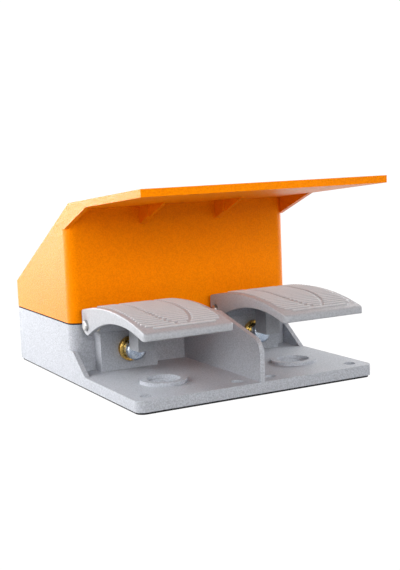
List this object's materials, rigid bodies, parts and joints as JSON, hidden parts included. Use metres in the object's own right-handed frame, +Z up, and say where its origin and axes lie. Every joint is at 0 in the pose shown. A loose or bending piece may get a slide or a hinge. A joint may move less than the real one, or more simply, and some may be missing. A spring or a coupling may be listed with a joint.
{
  "type": "twin-pedal foot switch",
  "caption": "Industrial foot switch with arched pedals side by side on a grey cast base, under an orange guard hood; each pedal pushes a sprung plunger.",
  "frame": {"origin": "on the floor under the middle of the base", "axes": "+X to the right across the pedals, +Y from the pedals to the rear wall, +Z up"},
  "size_m": [0.24, 0.3475, 0.186],
  "materials": {
    "casting_grey": "fine textured grey paint on cast aluminium",
    "pedal_grey": "smooth light grey paint on cast aluminium",
    "hood_orange": "fine textured orange paint on cast aluminium",
    "rubber_black": "matte black rubber",
    "zinc_steel": "bright zinc plate",
    "spring_steel": "drawn spring wire",
    "brass": "machined brass",
    "black_plastic": "moulded black plastic",
    "ivory_plastic": "moulded ivory plastic"
  },
  "bodies": {
    "base": {"base_casting": "casting_grey", "base_mat": "rubber_black", "cover_gasket": "rubber_black", "hood": "hood_orange", "hood_screws": "zinc_steel", "hood_screw_washers": "rubber_black", "left_pivot_pin": "zinc_steel", "right_pivot_pin": "zinc_steel", "pivot_spacers": "ivory_plastic", "pivot_clips": "zinc_steel", "left_guide_bush": "brass", "right_guide_bush": "brass", "bush_nuts": "brass", "left_plunger_spring": "spring_steel", "right_plunger_spring": "spring_steel", "left_block_bracket": "zinc_steel", "right_block_bracket": "zinc_steel", "left_contact_block": "black_plastic", "right_contact_block": "black_plastic", "left_block_cover": "ivory_plastic", "right_block_cover": "ivory_plastic", "left_contact_spring": "spring_steel", "right_contact_spring": "spring_steel", "terminal_bars": "brass", "terminal_screws": "zinc_steel", "block_screws": "zinc_steel", "bracket_screws": "zinc_steel", "earth_screw": "zinc_steel", "earth_clamp": "brass", "cable_gland": "black_plastic", "gland_dome_nut": "black_plastic", "gland_seal": "rubber_black", "entry_locknuts": "black_plastic", "blanking_plug": "black_plastic", "entry_seals": "rubber_black"},
    "left_pedal": {"left_pedal": "pedal_grey", "left_pivot_bushes": "brass"},
    "left_plunger": {"left_plunger": "zinc_steel", "left_plunger_cap": "zinc_steel", "left_plunger_seal": "rubber_black"},
    "left_contact_carrier": {"left_contact_carrier": "ivory_plastic", "left_contact_bridge": "brass"},
    "right_pedal": {"right_pedal": "pedal_grey", "right_pivot_bushes": "brass"},
    "right_plunger": {"right_plunger": "zinc_steel", "right_plunger_cap": "zinc_steel", "right_plunger_seal": "rubber_black"},
    "right_contact_carrier": {"right_contact_carrier": "ivory_plastic", "right_contact_bridge": "brass"}
  },
  "joints": [
    {"name": "left_pedal_hinge", "type": "hinge", "parent": "base", "child": "left_pedal", "pos_m": [-0.0685, -0.0215, 0.0577], "axis": [1, 0, 0], "range_deg": [0, 12], "stiffness_Nm_per_rad": 8, "springref_deg": -8.59},
    {"name": "left_plunger_slide", "type": "slide", "parent": "base", "child": "left_plunger", "axis": [0, 1, 0], "range_m": [0, 0.005], "deforming": ["left_plunger_spring"]},
    {"name": "left_contact_slide", "type": "slide", "parent": "base", "child": "left_contact_carrier", "axis": [0, 1, 0], "range_m": [0, 0.005], "deforming": ["left_contact_spring"]},
    {"name": "right_pedal_hinge", "type": "hinge", "parent": "base", "child": "right_pedal", "pos_m": [0.0685, -0.0215, 0.0577], "axis": [1, 0, 0], "range_deg": [0, 12], "stiffness_Nm_per_rad": 8, "springref_deg": -8.59},
    {"name": "right_plunger_slide", "type": "slide", "parent": "base", "child": "right_plunger", "axis": [0, 1, 0], "range_m": [0, 0.005], "deforming": ["right_plunger_spring"]},
    {"name": "right_contact_slide", "type": "slide", "parent": "base", "child": "right_contact_carrier", "axis": [0, 1, 0], "range_m": [0, 0.005], "deforming": ["right_contact_spring"]}
  ],
  "couplings": [
    {"joint": "left_plunger_slide", "follows": "left_pedal_hinge", "m_per_rad": 0.023153},
    {"joint": "left_contact_slide", "follows": "left_pedal_hinge", "m_per_rad": 0.023153},
    {"joint": "right_plunger_slide", "follows": "right_pedal_hinge", "m_per_rad": 0.023153},
    {"joint": "right_contact_slide", "follows": "right_pedal_hinge", "m_per_rad": 0.023153}
  ]
}
